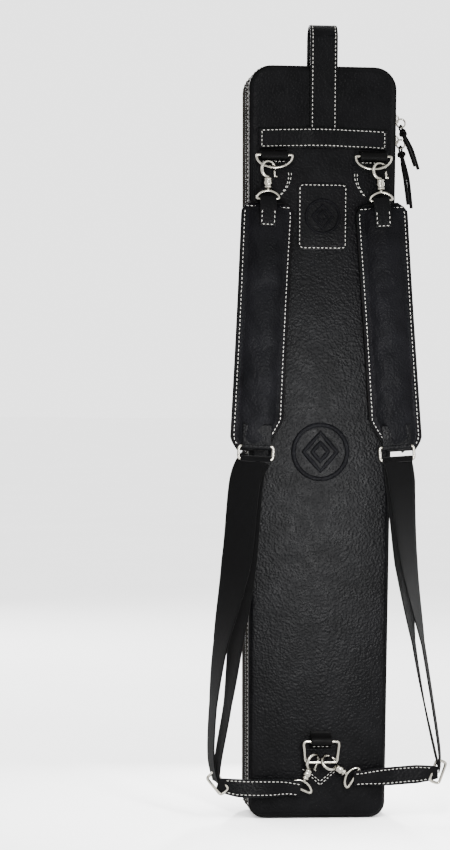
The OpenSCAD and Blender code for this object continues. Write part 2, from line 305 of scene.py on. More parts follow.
class Build:
    """Collects many small solids into one mesh."""

    def __init__(self):
        self.verts, self.faces, self.uvs = [], [], []

    def loft(self, rings, caps=True, closed=False, uvs=None):
        n, start = len(rings[0]), len(self.verts)
        for i, ring in enumerate(rings):
            self.verts += ring
            self.uvs += uvs[i] if uvs else [(0, 0)] * n
        last = len(rings) if closed else len(rings) - 1
        for i in range(last):
            a, b = start + i * n, start + (i + 1) % len(rings) * n
            for j in range(n):
                k = (j + 1) % n
                self.faces.append((a + j, a + k, b + k, b + j))
        if caps and not closed:
            self.faces.append(tuple(range(start + n - 1, start - 1, -1)))
            self.faces.append(tuple(range(start + (len(rings) - 1) * n, start + len(rings) * n)))
        return self

    def sweep(self, path, section, normal, closed=False, widths=None):
        """Carries a section of (across, out) points along a path; normal(i, tangent) is its out direction."""
        rings, uvs, run = [], [], 0.0
        count = len(path)
        for i, p in enumerate(path):
            before = path[i - 1] if i or closed else p
            after = path[(i + 1) % count] if i < count - 1 or closed else p
            tangent = (after - before).normalized()
            out = normal(i, tangent) if callable(normal) else normal
            out = (out - tangent * out.dot(tangent)).normalized()
            side = tangent.cross(out)
            w = widths[i] if widths else 1.0
            rings.append([p + side * (u * w) + out * v for u, v in section])
            uvs.append([(run, u) for u, v in section])
            if i < count - 1:
                run += (path[i + 1] - p).length
        return self.loft(rings, closed=closed, uvs=uvs)

    def lathe(self, origin, axis, profile, n=20):
        """Turns (distance along the axis, radius) points about it."""
        axis = axis.normalized()
        side = axis.orthogonal().normalized()
        across = axis.cross(side)
        spin = circle(1, n)
        rings = [[origin + axis * h + (side * c + across * s) * r for c, s in spin] for h, r in profile]
        return self.loft(rings)

    def done(self, name, material, body, slot, replaces=(), uv=False):
        uvs = self.uvs if uv else None
        return outward(piece(name, self.verts, self.faces, material, body, replaces, uvs))


def circle(r, n):
    return [(r * math.cos(2 * math.pi * i / n), r * math.sin(2 * math.pi * i / n)) for i in range(n)]


def flat_section(width, thick, n=4):
    """A strap's section: flat, with rounded edges, starting on its under face."""
    r = thick * 0.45
    points = []
    for cx, cy, a in ((1, 1, 0), (-1, 1, 90), (-1, -1, 180), (1, -1, 270)):
        for i in range(n + 1):
            c, s = polar(a + 90 * i / n, r)
            points.append((cx * (width / 2 - r) + c, cy * (thick / 2 - r) + s))
        if (cx, cy) in ((1, 1), (-1, -1)):
            step = width / 6 * -cx
            for k in range(1, 6):
                points.append((cx * (width / 2) + step * k, cy * thick / 2))
    return points


def smooth_path(points, steps=8, closed=False):
    """A Catmull-Rom curve through points."""
    out, n = [], len(points)
    for i in range(n if closed else n - 1):
        def at(k):
            return points[k % n] if closed else points[min(max(k, 0), n - 1)]
        a, b, c, d = at(i - 1), at(i), at(i + 1), at(i + 2)
        for s in range(steps):
            t = s / steps
            out.append(0.5 * (2 * b + (c - a) * t + (2 * a - 5 * b + 4 * c - d) * t * t
                              + (3 * b - a - 3 * c + d) * t ** 3))
    if not closed:
        out.append(points[-1].copy())
    return out


def walk(path, step, closed=False, phase=0.5):
    """Even points along a path, each with its direction."""
    line = path + [path[0]] if closed else path
    length = sum((b - a).length for a, b in zip(line, line[1:]))
    count = max(1, round(length / step))
    step, out, run, k = length / count, [], 0.0, 0
    for i in range(count):
        want = (i + phase) * step
        while k < len(line) - 2 and run + (line[k + 1] - line[k]).length < want:
            run += (line[k + 1] - line[k]).length
            k += 1
        seg = line[k + 1] - line[k]
        out.append((line[k] + seg.normalized() * (want - run), seg.normalized()))
    return out


STITCH_PITCH, STITCH_L, STITCH_R = 4.8 * MM, 2.8 * MM, 0.40 * MM
# along the stitch, thickness and height, which dips into the leather at both ends
STITCH_SHAPE = ((-0.5, 0.25, -0.4), (-0.36, 0.9, 0.25), (0, 1, 0.6), (0.36, 0.9, 0.25), (0.5, 0.25, -0.4))


def stitches(name, rows, body, closed=False):
    """White saddle stitches; each row is (path, outward direction or function of a point)."""
    b = Build()
    for path, out in rows:
        for p, d in walk(path, STITCH_PITCH, closed):
            n = out(p) if callable(out) else out
            n = (n - d * n.dot(d)).normalized()
            side = d.cross(n)
            rings = []
            for t, r, lift in STITCH_SHAPE:
                c = p + d * (t * STITCH_L) + n * (STITCH_R * lift)
                rings.append([c + (side * u + n * v) * (STITCH_R * r) for u, v in circle(1, 6)])
            b.loft(rings)
    return b.done(name, THREAD, body, "trim")


# ---------------------------------------------------------------- outlines in XZ
def corners(half_low, half_high, z0, z1, r_low, r_high, long_n=44, short_n=12, arc_n=8, centre=0.0):
    """Points of a rounded outline, with even counts so that rings of them can be lofted."""
    out = []

    def arc(cx, cz, r, a0):
        for i in range(arc_n + 1):
            c, s = polar(a0 + 90 * i / arc_n, r)
            out.append((cx + c, cz + s))

    arc(centre + half_low - r_low, z0 + r_low, r_low, 270)
    out.append(long_n)
    arc(centre + half_high - r_high, z1 - r_high, r_high, 0)
    out.append(short_n)
    arc(centre - half_high + r_high, z1 - r_high, r_high, 90)
    out.append(long_n)
    arc(centre - half_low + r_low, z0 + r_low, r_low, 180)
    out.append(short_n)
    ring = []
    for k, item in enumerate(out):
        if isinstance(item, int):
            (ax, az), (bx, bz) = out[k - 1], out[(k + 1) % len(out)]
            ring += [(ax + (bx - ax) * i / item, az + (bz - az) * i / item) for i in range(1, item)]
        else:
            ring.append(item)
    return ring


def case_outline(d, d_low=None):
    """The case's outline moved in by d, or by d_low at the base."""
    d_low = d if d_low is None else d_low
    return corners(HALF_BASE - d_low, HALF_TOP - d, d, CASE_H - d,
                   max(R_BASE - d_low, 2 * MM), max(R_TOP - d, 2 * MM))


def outline_normal(p):
    """Roughly outward from the case's side walls in XZ."""
    x, z = p.x, p.z
    cx = max(-HALF_BASE + R_TOP, min(HALF_BASE - R_TOP, x))
    cz = max(R_TOP, min(CASE_H - R_TOP, z))
    v = Vector((x - cx, 0, z - cz))
    return v.normalized() if v.length > 1e-6 else Z


def ring_at(points, y, puff=0.0, scale=14.0):
    """Puts an outline at a depth, with soft waves along Y."""
    out = []
    for x, z in points:
        wave = noise.noise(Vector((x, y, z)) * scale) * puff
        out.append(Vector((x, y + wave, z)))
    return out


def fan(build, ring_start, n, centre, flip):
    k = len(build.verts)
    build.verts.append(centre)
    build.uvs.append((0, 0))
    for j in range(n):
        a, b = ring_start + j, ring_start + (j + 1) % n
        build.faces.append((a, b, k) if flip else (b, a, k))


def lofted_cup(name, rings, material, body, slot, replaces, centre_a, centre_b):
    """A hollow shell: rings from its inner floor, over its rim, to its outer face."""
    b = Build().loft(rings, caps=False)
    n = len(rings[0])
    fan(b, 0, n, centre_a, True)
    fan(b, (len(rings) - 1) * n, n, centre_b, False)
    return b.done(name, material, body, slot, replaces)


# ---------------------------------------------------------------- the two half shells
def half_shell(name, sign, body, node, material):
    """sign +1 is the rear half and -1 the front half."""
    face = BACK_Y if sign > 0 else -FRONT_Y
    inner = face - WALL + 0.8 * MM
    rings = [(case_outline(WALL + 8 * MM), inner, 0)]
    rings += [(case_outline(WALL), y, 0) for y in (inner, face / 2, ZIP_GAP + 1.5 * MM)]
    rings += [(case_outline(1.6 * MM), ZIP_GAP, 0), (case_outline(0.5 * MM), ZIP_GAP + 0.4 * MM, 0)]
    side_end = face - 8 * MM
    for i in range(5):
        rings.append((case_outline(0), ZIP_GAP + 1.5 * MM + (side_end - ZIP_GAP - 1.5 * MM) * i / 4, 0.3 * MM))
    for i in range(1, 7):
        a = math.radians(90 * i / 6)
        d = 1 - math.cos(a)
        y = side_end + 8 * MM * math.sin(a) - 0.4 * MM
        rings.append((case_outline(8 * MM * d, 5 * MM * d), y, 0.2 * MM))
    for inset, crown in ((12, 0.1), (17, 0.3), (24, 0.5), (34, 0.7), (46, 0.8), (60, 0.9)):
        rings.append((case_outline(inset * MM), face + (crown - 0.4) * MM, 0.5 * MM))
    placed = [ring_at(points, y, puff) for points, y, puff in rings]
    tip = Vector((0, face + 0.5 * MM, CASE_H / 2))
    floor = Vector((0, inner, CASE_H / 2))
    for ring in placed + [[tip], [floor]]:
        for v in ring:
            v.y *= sign
    return lofted_cup(name, placed, material, body, "leather", [node], floor, tip)


half_shell("rear_leather_shell", 1, "rear_half", "rear_shell", SMOOTH)
half_shell("front_leather_shell", -1, "front_cover", "front_shell", SMOOTH)


def case_row(d, y, d_low=None):
    return [Vector((x, y, z)) for x, z in case_outline(d, d_low)]


stitches("stitch_rear_edge", [(case_row(-0.42 * MM, BACK_Y - 11 * MM), outline_normal)], "rear_half", True)
stitches("stitch_front_edge", [(case_row(-0.42 * MM, FRONT_Y + 11 * MM), outline_normal)], "front_cover", True)


def side_band(name, y0, y1, body):
    """The gusset strip that runs round a half's side wall; its paler tone is painted reflection of the light on
    that wall.
    """
    edge = 0.3 * MM
    profile = ((-0.5, y0), (0.25, y0 + edge), (0.3, (y0 + y1) / 2), (0.25, y1 - edge), (-0.5, y1))
    rings = [case_row(-d * MM, y) for d, y in profile]
    return Build().loft(rings, closed=True).done(name, GUSSET_PAINTED_REFLECTION, body, "leather")


for half, sign, body in HALVES:
    face = BACK_Y if sign > 0 else -FRONT_Y
    cord = case_row(1.1 * MM, sign * (face - 4.2 * MM), 1.1 * MM)
    Build().sweep(cord, circle(1.1 * MM, 8), Y, closed=True).done(f"{half}_edge_welt", TRIM, body, "trim")
    low_y, high_y = sorted((sign * (ZIP_GAP + 1.4 * MM), sign * (face - 8.6 * MM)))
    side_band(f"{half}_side_band", low_y, high_y, body)


def paint(node, material):
    """Gives a CAD node that keeps its shape its finished material."""
    obj = frame["nodes"][node]
    obj.data.materials.clear()
    obj.data.materials.append(material)


for kind in ("butt", "shaft"):
    paint(f"{kind}_insert", PLUSH)
    paint(f"{kind}_strap", ELASTIC)
for half in ("rear", "front"):
    paint(f"{half}_zip_tape", TAPE)
# the spine roll gets the gusset leather, whose paler tone is painted reflection
paint("spine_roll", GUSSET_PAINTED_REFLECTION)


# ---------------------------------------------------------------- pockets
def door_outline(node, d):
    a, b = low(node), high(node)
    r = max(20 * MM - d, 2 * MM)
    return corners(b.x - d, b.x - d, a.z + d, b.z - d, r, r, long_n=30, short_n=12)


def pocket_door(name, node, body):
    """A padded door: a thin rim at the zip, a rounded edge, and a crowned pebbled face."""
    a, b = low(node), high(node)
    mouth, face = b.y, a.y
    floor = face + 4 * MM
    rings = [(12, floor, 0), (4, floor, 0), (4, mouth - 2 * MM, 0), (3.4, mouth, 0), (0.6, mouth, 0),
             (0, mouth - 0.8 * MM, 0), (0, mouth - 4 * MM, 0.2)]
    side = face + 7 * MM
    rings.append((0, side, 0.2))
    for i in range(1, 7):
        t = math.radians(15 * i)
        rings.append((7 * (1 - math.cos(t)), side - 7 * MM * math.sin(t), 0.3))
    rings += [(9, face + 0.5 * MM, 0), (10.5, face + 0.2 * MM, 0.2), (14, face - 0.5 * MM, 0.5),
              (20, face - 1.1 * MM, 0.8), (30, face - 1.6 * MM, 0.9), (44, face - 1.9 * MM, 0.9)]
    placed = [ring_at(door_outline(node, d * MM), y, puff * MM, 22) for d, y, puff in rings]
    mid = (a.z + b.z) / 2
    # the innermost ring closes on a single point at the middle of the face
    return lofted_cup(name, placed, PEBBLED, body, "pebbled", [node],
                      Vector((0, floor, mid)), Vector((0, face - 2 * MM, mid)))


def pocket_base(name, node, door, body):
    """The flared gusset between the shell and the door."""
    a, b = low(node), high(node)
    split, foot = a.y, b.y
    flare = b.x - high(door).x
    rings = [(4, foot + 0.6 * MM), (4, split + 0.8 * MM), (3.2, split), (0.6, split), (0, split + 0.8 * MM)]
    for i in range(1, 8):
        t = i / 7
        rings.append((-flare / MM * t ** 1.6, split + (foot - split) * t))
    rings.append((-flare / MM, foot + 0.6 * MM))
    placed = [ring_at(door_outline(door, d * MM), y, 0.25 * MM, 30) for d, y in rings]
    bottom = max(a.z, 1 * MM)
    for ring in placed:
        for v in ring:
            v.z = max(v.z, bottom)
    return Build().loft(placed, closed=True).done(name, SMOOTH, body, "leather", [node])


def door_row(node, d, y):
    return [Vector((x, y, z)) for x, z in door_outline(node, d)]


def around(node, lean=0.0):
    """Outward direction from a door's side wall, leaning towards the viewer of the face."""
    a, b = low(node), high(node)

    def out(p):
        cx = max(a.x + 20 * MM, min(b.x - 20 * MM, p.x))
        cz = max(a.z + 20 * MM, min(b.z - 20 * MM, p.z))
        v = Vector((p.x - cx, 0, p.z - cz))
        v = v.normalized() if v.length > 1e-6 else X
        return (v - Y * lean).normalized()
    return out


def open_run(path, low_z, high_z):
    """Leaves out of a closed outline the stretch on its -X side between two heights."""
    edge = min(0, min(p.x for p in path) + 9 * MM)
    keep = [p for p in path if not (low_z < p.z < high_z and p.x < edge)]
    gap = max(range(len(keep)), key=lambda i: (keep[(i + 1) % len(keep)] - keep[i]).length)
    return keep[gap + 1:] + keep[:gap + 1]


def open_teeth(name, path, out, body, phase=0.5):
    """A row of zip teeth along an open path."""
    b = Build()
    for p, d in walk(path, 2.6 * MM, phase=phase):
        n = out(p)
        side = d.cross(n)
        b.loft([[p + d * (1.1 * MM * t) + n * (0.9 * MM * w * u) + side * (0.95 * MM * w * v)
                 for u, v in ((1, 1), (1, -1), (-1, -1), (-1, 1))]
                for t, w in ((-0.5, 0.6), (-0.25, 1), (0.25, 1), (0.5, 0.6))])
    return b.done(name, GUNMETAL, body, "nickel")


def zip_stop(name, z, x, y, body, height=8, depth=11):
    """A stitched leather tab that covers the end of a zip."""
    b = Build()
    h, d, t = height * MM, depth * MM, 1.6 * MM
    path = [Vector((x - 0.2 * MM, y, z + h / 2 * s)) for s in (-1, -0.5, 0, 0.5, 1)]
    b.sweep(path, flat_section(d, t), -X)
    b.done(name, TRIM, body, "trim")
    rows = [([Vector((x - t * 0.62, y + s * (d / 2 - 1.4 * MM), z + e * (h / 2 - 1 * MM))) for e in (-1, 1)], -X)
            for s in (-1, 1)]
    stitches(name + "_stitch", rows, body)


def pocket(prefix, low_gap, high_gap):
    """A pocket's door, gusset, stitching, teeth and zip stops; the gaps run from its ends to the stops."""
    door, base, flap = f"{prefix}_door", f"{prefix}_base", f"{prefix}_flap"
    stop_low, stop_high = low(door).z + low_gap * MM, high(door).z - high_gap * MM
    pocket_door(prefix + "_pocket_door", door, flap)
    pocket_base(prefix + "_pocket_gusset", base, door, "front_cover")
    mouth = high(door).y
    split = low(base).y
    side = around(door)
    flare = high(base).x - high(door).x
    lift = 0.12 * MM
    stitches(prefix + "_door_stitch", [(door_row(door, -lift, mouth - 3.4 * MM), side)], flap, True)
    row = door_row(door, -flare * 0.18 - lift, split + 4.2 * MM)
    gusset = [Vector((p.x, p.y, max(p.z, 2 * MM))) for p in row]
    stitches(prefix + "_gusset_stitch", [(gusset, around(door, 0.3))], "front_cover", True)
    for tag, y, body, phase in (("door", mouth + 0.7 * MM, flap, 0.25),
                                ("gusset", split - 0.6 * MM, "front_cover", 0.75)):
        run = open_run(door_row(door, 0.3 * MM, y), stop_low, stop_high)
        open_teeth(f"{prefix}_teeth_{tag}", run, side, body, phase)
    welt = Build().sweep(door_row(door, 0, mouth - 6 * MM), circle(1.0 * MM, 8), -Y, closed=True)
    welt.done(prefix + "_door_welt", TRIM, flap, "trim")
    x = low(door).x
    for tag, z in (("low", stop_low), ("high", stop_high)):
        zip_stop(f"{prefix}_zip_stop_{tag}", z, x - flare * 0.35, split + 8.4 * MM, "front_cover")


pocket("upper", 42, 42)
pocket("lower", 70, 96)

# the main zip's teeth
for half, sign, body in HALVES:
    path = open_run(case_row(1.0 * MM, sign * 1.0 * MM), -CASE_H, 2 * CASE_H)
    open_teeth(f"main_teeth_{half}", path, outline_normal, body)
for tag, z in (("low", SPINE_LOW - 2 * MM), ("high", SPINE_HIGH + 2 * MM)):
    zip_stop(f"main_zip_stop_{tag}", z, wall_x(z) - 0.3 * MM, 7.5 * MM, "rear_half", 12, 12)


def spine():
    """The leather spine along the hinge side, as one fixed mesh that stays in place when the case opens."""
    b = Build()
    rings, n = [], 14
    for i in range(61):
        z = SPINE_LOW + 8 * MM + (SPINE_HIGH - SPINE_LOW - 16 * MM) * i / 60
        wall = wall_x(z)
        outer, inner = [], []
        for k in range(n + 1):
            y = -13 * MM + 26 * MM * k / n
            bulge = 1.5 * MM * math.exp(-(y / (5 * MM)) ** 2)
            soft = 0.25 * MM * noise.noise(Vector((0, y * 60, z * 40)))
            outer.append(Vector((wall - 0.9 * MM - bulge + soft, y, z)))
            inner.append(Vector((wall - 0.02 * MM - bulge * 0.8 + soft, y, z)))
        rings.append(outer + inner[::-1])
    b.loft(rings)
    # the spine is made of the gusset leather, painted paler as painted reflection
    obj = b.done("spine_leather", GUSSET_PAINTED_REFLECTION, None, "trim")
    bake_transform(obj)
    for half, sign, body in HALVES:
        row = []
        for i in range(40):
            z = SPINE_LOW + 11 * MM + (SPINE_HIGH - SPINE_LOW - 22 * MM) * i / 39
            row.append(Vector((wall_x(z) - 1.05 * MM, sign * 11 * MM, z)))
        stitches(f"spine_stitch_{half}", [(row, -X)], body)


spine()


# ---------------------------------------------------------------- embossed badges
def emboss(name, centre, size, out, body):
    """A generic raised mark: a diamond in a ring."""
    b = Build()
    cord = [(u, v * 0.8) for u, v in circle(size * 0.085, 10)]
    b.sweep([centre + Vector((c, 0, s)) for c, s in circle(size, 48)], cord, out, closed=True)
    corner = ((1, 0), (0.5, 0.5), (0, 1), (-0.5, 0.5), (-1, 0), (-0.5, -0.5), (0, -1), (0.5, -0.5))
    for k in (0.62, 0.30):
        diamond = [centre + Vector((c, 0, s * 1.15)) * (size * k) for c, s in corner]
        b.sweep(diamond, cord, out, closed=True)
    return b.done(name, PEBBLED, body, "pebbled")


for name, badge_z, size in (("upper", middle("upper_door").z + 30 * MM, 26),
                            ("lower", low("lower_door").z + 66 * MM, 18)):
    centre = Vector((0, low(f"{name}_door").y - 1.9 * MM, badge_z))
    emboss(f"{name}_badge", centre, size * MM, -Y, f"{name}_flap")
emboss("back_badge", Vector((0, BACK_Y + 0.55 * MM, 420 * MM)), 31 * MM, Y, "rear_half")


# ---------------------------------------------------------------- back trims
def slab(name, points, y0, y1, material, body, slot, replaces, crown):
    """A sewn leather patch with a softened edge; points are its outline in XZ."""
    cx = sum(p[0] for p in points) / len(points)
    cz = sum(p[1] for p in points) / len(points)
    soft = 0.5 * MM

    def ring(d, y):
        out = []
        for x, z in points:
            v = Vector((x - cx, z - cz))
            k = max(0.0, 1 - d / max(v.length, 1e-6))
            out.append(Vector((cx + v.x * k, y, cz + v.y * k)))
        return out
    rings = [ring(0, y0), ring(0, y1 - soft), ring(soft * 0.3, y1 - soft * 0.3), ring(soft, y1)]
    rings += [ring(soft + k * 6 * MM, y1 + crown * k / 3) for k in (1, 2, 3)]
    return Build().loft(rings).done(name, material, body, slot, replaces)


def rounded(x0, x1, z0, z1, r):
    """A patch's outline: a box with round corners."""
    cx, hx = (x0 + x1) / 2, (x1 - x0) / 2
    return corners(hx, hx, z0, z1, r, r, 16, 8, 6, cx)


def inset_row(points, d, y):
    """A stitch line at a distance d inside an outline."""
    cx = sum(p[0] for p in points) / len(points)
    cz = sum(p[1] for p in points) / len(points)
    out = []
    n = len(points)
    for i, (x, z) in enumerate(points):
        ax, az = points[i - 1]
        bx, bz = points[(i + 1) % n]
        t = Vector((bx - ax, bz - az)).normalized()
        inward = Vector((-t.y, t.x))
        if inward.dot(Vector((cx - x, cz - z))) < 0:
            inward = -inward
        out.append(Vector((x + inward.x * d, y, z + inward.y * d)))
    return out


def handle():
    a, b = low("carry_handle"), high("carry_handle")
    r = (b.y - a.y) / 2
    crown = b.z - r
    t = 3.0 * MM
    mid = a.y + r
    path = [Vector((0, b.y - t / 2, z)) for z in (a.z + 1 * MM, a.z + 25 * MM, a.z + 55 * MM, CASE_H, crown)]
    path += arc_yz(Vector((0, mid, crown)), r - t / 2, range(10, 180, 10))
    path += [Vector((0, a.y + t / 2, crown)), Vector((0, a.y + t / 2, CASE_H + 0.4 * MM))]
    dense = smooth_path(path, 3)

    def out_at(p):
        if p.z > crown:
            return Vector((0, p.y - mid, p.z - crown))
        return Y if p.y > mid else -Y
    body = Build().sweep(dense, flat_section(32 * MM, t), lambda i, tan: out_at(dense[i]))
    body.done("handle_strap", SMOOTH, "rear_half", "leather", ["carry_handle"])
    rows = [([p + X * (s * 13 * MM) + out_at(p).normalized() * (t / 2 + 0.1 * MM) for p in dense], out_at)
            for s in (-1, 1)]
    stitches("handle_stitch", rows, "rear_half")


handle()


def cross_patch():
    """A long strap sewn across the foot of the handle, slightly arched."""
    a, b = low("cross_patch"), high("cross_patch")
    t = 2.6 * MM
    path = []
    for i in range(41):
        u = -1 + i / 20
        hump = 1 / (1 + math.exp((abs(u * (b.x - 1 * MM)) - 19 * MM) / (2.2 * MM)))
        path.append(Vector((u * (b.x - 0.5 * MM), BACK_Y + t / 2 + 0.1 * MM + hump * 3.3 * MM,
                            (a.z + b.z) / 2 + 2.0 * MM * (1 - u * u) - 1 * MM)))
    w = (b.z - a.z) - 1.5 * MM
    Build().sweep(path, flat_section(w, t), Y).done(
        "cross_patch_strap", SMOOTH, "rear_half", "leather", ["cross_patch"])
    face = [p + Y * (t / 2 + 0.12 * MM) for p in path]
    edge = w / 2 - 2.6 * MM
    top = [p + Z * edge for p in face[1:-1]]
    foot = [p - Z * edge for p in face[1:-1]]
    ends = [[face[k] + Z * edge, face[k], face[k] - Z * edge] for k in (1, -2)]
    stitches("cross_patch_stitch", [(top, Y), (foot, Y), (ends[0], Y), (ends[1], Y)], "rear_half")


cross_patch()


def badge_patch():
    a, b = low("badge_patch"), high("badge_patch")
    shape = rounded(a.x, b.x, a.z, b.z, 7 * MM)
    slab("back_patch", shape, BACK_Y + 0.05 * MM, b.y, SMOOTH, "rear_half", "leather", ["badge_patch"],
         0.5 * MM)
    stitches("back_patch_stitch", [(inset_row(shape, 2.6 * MM, b.y + 0.25 * MM), Y)], "rear_half", True)
    emboss("back_patch_badge", Vector((0, b.y + 0.6 * MM, (a.z + b.z) / 2)), 19 * MM, Y, "rear_half")


badge_patch()

for side, s in SIDES.items():  # two curved rows down each anchor's inner edge
    paint(f"anchor_{side}", SMOOTH)
    a, b = low(f"anchor_{side}"), high(f"anchor_{side}")
    inner_x = a.x if s > 0 else b.x
    rows = []
    for inset in (2.6 * MM, 6.0 * MM):
        rows.append(([Vector((inner_x + s * (inset * (1 - 0.1 * k) + 0.22 * MM * k * k), b.y + 0.1 * MM,
                              b.z - (8 + k * 3.4) * MM)) for k in range(9)], Y))
    stitches(f"anchor_stitch_{side}", rows, "rear_half")
paint("lower_patch", SMOOTH)


def lower_patch_stitch():
    a, b = low("lower_patch"), high("lower_patch")
    mid = (a.x + b.x) / 2
    rows = []
    for d in (3 * MM, 6.2 * MM):
        tip = Vector((mid, b.y + 0.1 * MM, a.z + d * 1.3))
        for x in (a.x + d, b.x - d):
            rows.append(([Vector((x, b.y + 0.1 * MM, a.z + 23 * MM)), tip], Y))
    stitches("lower_patch_stitch", rows, "rear_half")


lower_patch_stitch()


def keeper(name, node, ring_node):
    """A leather loop round a ring's bar, with its tail sewn under the trim above."""
    a, b = low(node), high(node)
    axis_z = high(ring_node).z - 1.6 * MM
    axis_y = middle(ring_node).y
    r = 4.1 * MM
    w = b.x - a.x
    x = (a.x + b.x) / 2
    path = [Vector((x, BACK_Y + 1.2 * MM, b.z - 0.5 * MM)),
            Vector((x, BACK_Y + 2.0 * MM, (b.z + axis_z + r) / 2))]
    path += arc_yz(Vector((x, axis_y, axis_z)), r, range(115, -131, -15))
    path += [Vector((x, BACK_Y + 2.4 * MM, axis_z - 5 * MM)), Vector((x, BACK_Y + 1.2 * MM, axis_z - 9 * MM))]
    Build().sweep(smooth_path(path, 3), flat_section(w, 1.8 * MM), lambda i, tan: tan.cross(X)).done(
        name, TRIM, "rear_half", "trim", [node])
    row = [Vector((end, BACK_Y + 3.6 * MM, axis_z - 6.5 * MM)) for end in (a.x + 2 * MM, b.x - 2 * MM)]
    stitches(name + "_stitch", [(row, Y)], "rear_half")


keeper("keeper_loop_left", "keeper_left", "d_ring_left")
keeper("keeper_loop_right", "keeper_right", "d_ring_right")
keeper("lower_keeper_loop", "lower_keeper", "lower_ring")


# ---------------------------------------------------------------- rings and hooks
def wire(name, points, r, node, body):
    """A closed ring of round wire."""
    Build().sweep(smooth_path(points, 6, True), circle(r, 12), Y, closed=True).done(
        name, NICKEL, body, "nickel", [node])


def d_ring(side):
    node = f"d_ring_{side}"
    a, b = low(node), high(node)
    cx, y, r = (a.x + b.x) / 2, middle(node).y, 1.45 * MM
    w, top, h = (b.x - a.x) / 2 - r, b.z - r, b.z - a.z - 2 * r
    points = [Vector((cx + w * k, y, top)) for k in (-0.9, -0.5, 0, 0.5, 0.9)]
    points += [Vector((cx + w * c, y, top - 1 * MM + (h - 1 * MM) * s))
               for c, s in [polar(t) for t in range(0, -181, -20)]]
    wire(f"d_ring_wire_{side}", points, r, node, f"{side}_strap")


def box_ring(name, centre, w, h, turn, node, body, r=1.7 * MM, taper=0.0):
    """A rectangular wire ring, turned about Y by turn degrees."""
    spin = Matrix.Rotation(math.radians(turn), 3, "Y")
    flat = []
    k = 3.4 * MM
    for sx, sz in ((-1, -1), (1, -1), (1, 1), (-1, 1)):
        x, z = sx * (w / 2 - r - (taper if sz > 0 else 0)), sz * (h / 2 - r)
        first = (x, z - sz * k) if sx == sz else (x - sx * k, z)
        second = (x - sx * k, z) if sx == sz else (x, z - sz * k)
        flat += [first, (x - sx * 0.9 * MM, z - sz * 0.9 * MM), second]
    points = [centre + spin @ Vector((x, 0, z)) for x, z in flat]
    even = []
    for p, q in zip(points, points[1:] + points[:1]):
        even += [p, p.lerp(q, 0.5)] if (q - p).length > 2 * k else [p]
    wire(name, even, r, node, body)


for side in SIDES:
    d_ring(side)


def hook(name, origin, tilt, turn, node, gate_node, body, gate_body):
    """A swivel snap hook: bow, ribbed barrel, arched eye, and a gate with a thumb stud."""
    frame_m = Matrix.Rotation(math.radians(tilt), 3, "Y")
    bow_m = frame_m @ Matrix.Rotation(math.radians(turn), 3, "Z")

    def at(x, y, z, m=frame_m):
        return origin + m @ Vector((x, y, z)) * MM
    b = Build()
    bow = [at(c, 0, s, bow_m) for c, s in [polar(t, 9) for t in range(-96, 166, 8)]]
    b.sweep(bow, circle(1.85 * MM, 12), bow_m @ Y)

    def turned(build, origin, axis, profile, n):
        build.lathe(origin, axis, [(h * MM, r * MM) for h, r in profile], n)
    turned(b, at(0, 0, -22), frame_m @ Z, (
        (0, 1.6), (0.4, 3.6), (1.2, 4.4), (2.2, 4.4), (2.8, 3.5), (3.6, 3.5), (4.2, 4.5), (6, 5.0), (8, 4.7),
        (9.4, 4.0), (10.2, 4.6), (11.4, 4.6), (12.6, 3.0), (13.4, 0.8)), 20)
    turned(b, at(0, 0, -25.2), frame_m @ Z, ((0, 0.6), (0.3, 1.6), (3.4, 1.6), (3.6, 0.6)), 14)
    arch = ((5, -25.6), (9.5, -28), (12.2, -31), (12.4, -33.2), (9.5, -34), (4, -34))
    eye = [at(x, 0, z) for x, z in ((0, -24.6), *arch, *((-x, z) for x, z in reversed(arch)))]
    b.sweep(smooth_path(eye, 5, True), circle(1.5 * MM, 10), frame_m @ Y, closed=True)
    b.done(name, NICKEL, body, "nickel", [node])
    g = Build()
    turned(g, at(-9, 0, -9.2, bow_m), bow_m @ Z, ((0, 0.5), (0.3, 1.3), (8.6, 1.3), (9.0, 0.7)), 14)
    turned(g, at(-10.2, 0, -8, bow_m), bow_m @ -X,
           ((0, 0.8), (0.6, 0.9), (0.9, 1.4), (1.4, 1.5), (1.8, 1.1), (2.0, 0.3)), 14)
    g.done(name + "_gate", NICKEL, gate_body, "nickel", [gate_node])


RING_Y = middle("d_ring_left").y
TOP_RING_Z = high("d_ring_left").z - 1.6 * MM
UPPER_HOOKS = {"left": (64, 0), "right": (-64, 4)}  # X in mm and tilt in degrees
LOWER_HOOKS = {"left": (Vector((7 * MM, RING_Y, 66 * MM)), -24),
               "right": (Vector((-12 * MM, RING_Y, 65 * MM)), 57)}  # place, and tilt in degrees
for side, (x, tilt) in UPPER_HOOKS.items():
    hook(f"hook_upper_{side}", Vector((x * MM, RING_Y, TOP_RING_Z - 16 * MM)), tilt, 30,
         f"hook_{side}", f"trigger_{side}", f"{side}_strap", f"gate_{side}")
for side, (where, tilt) in LOWER_HOOKS.items():
    hook(f"hook_lower_{side}", where, tilt, 44,
         f"low_hook_{side}", f"low_trigger_{side}", "rear_half", f"low_gate_{side}")
box_ring("lower_ring_wire", middle("lower_ring"), 40 * MM, 27 * MM, 0, "lower_ring", "rear_half", taper=-2 * MM)


# ---------------------------------------------------------------- shoulder pads
PAD_L, PAD_W = 278 * MM, 58 * MM
PAD_FOOT = -PAD_L + 2 * MM  # the pad's foot, where its ring hangs
PADS = {"left": (Vector((64, 0, 703.6)) * MM, -2.3), "right": (Vector((-66.3, 0, 703.6)) * MM, 4.2)}


def pad_frame(side):
    """A function that puts pad coordinates (across, out, up) into the case's frame."""
    origin, tilt = PADS[side]
    spin = Matrix.Rotation(math.radians(tilt), 3, "Y")
    base = origin + Y * RING_Y

    def at(x, y, z):
        return base + spin @ Vector((x, y, z))
    return at, spin


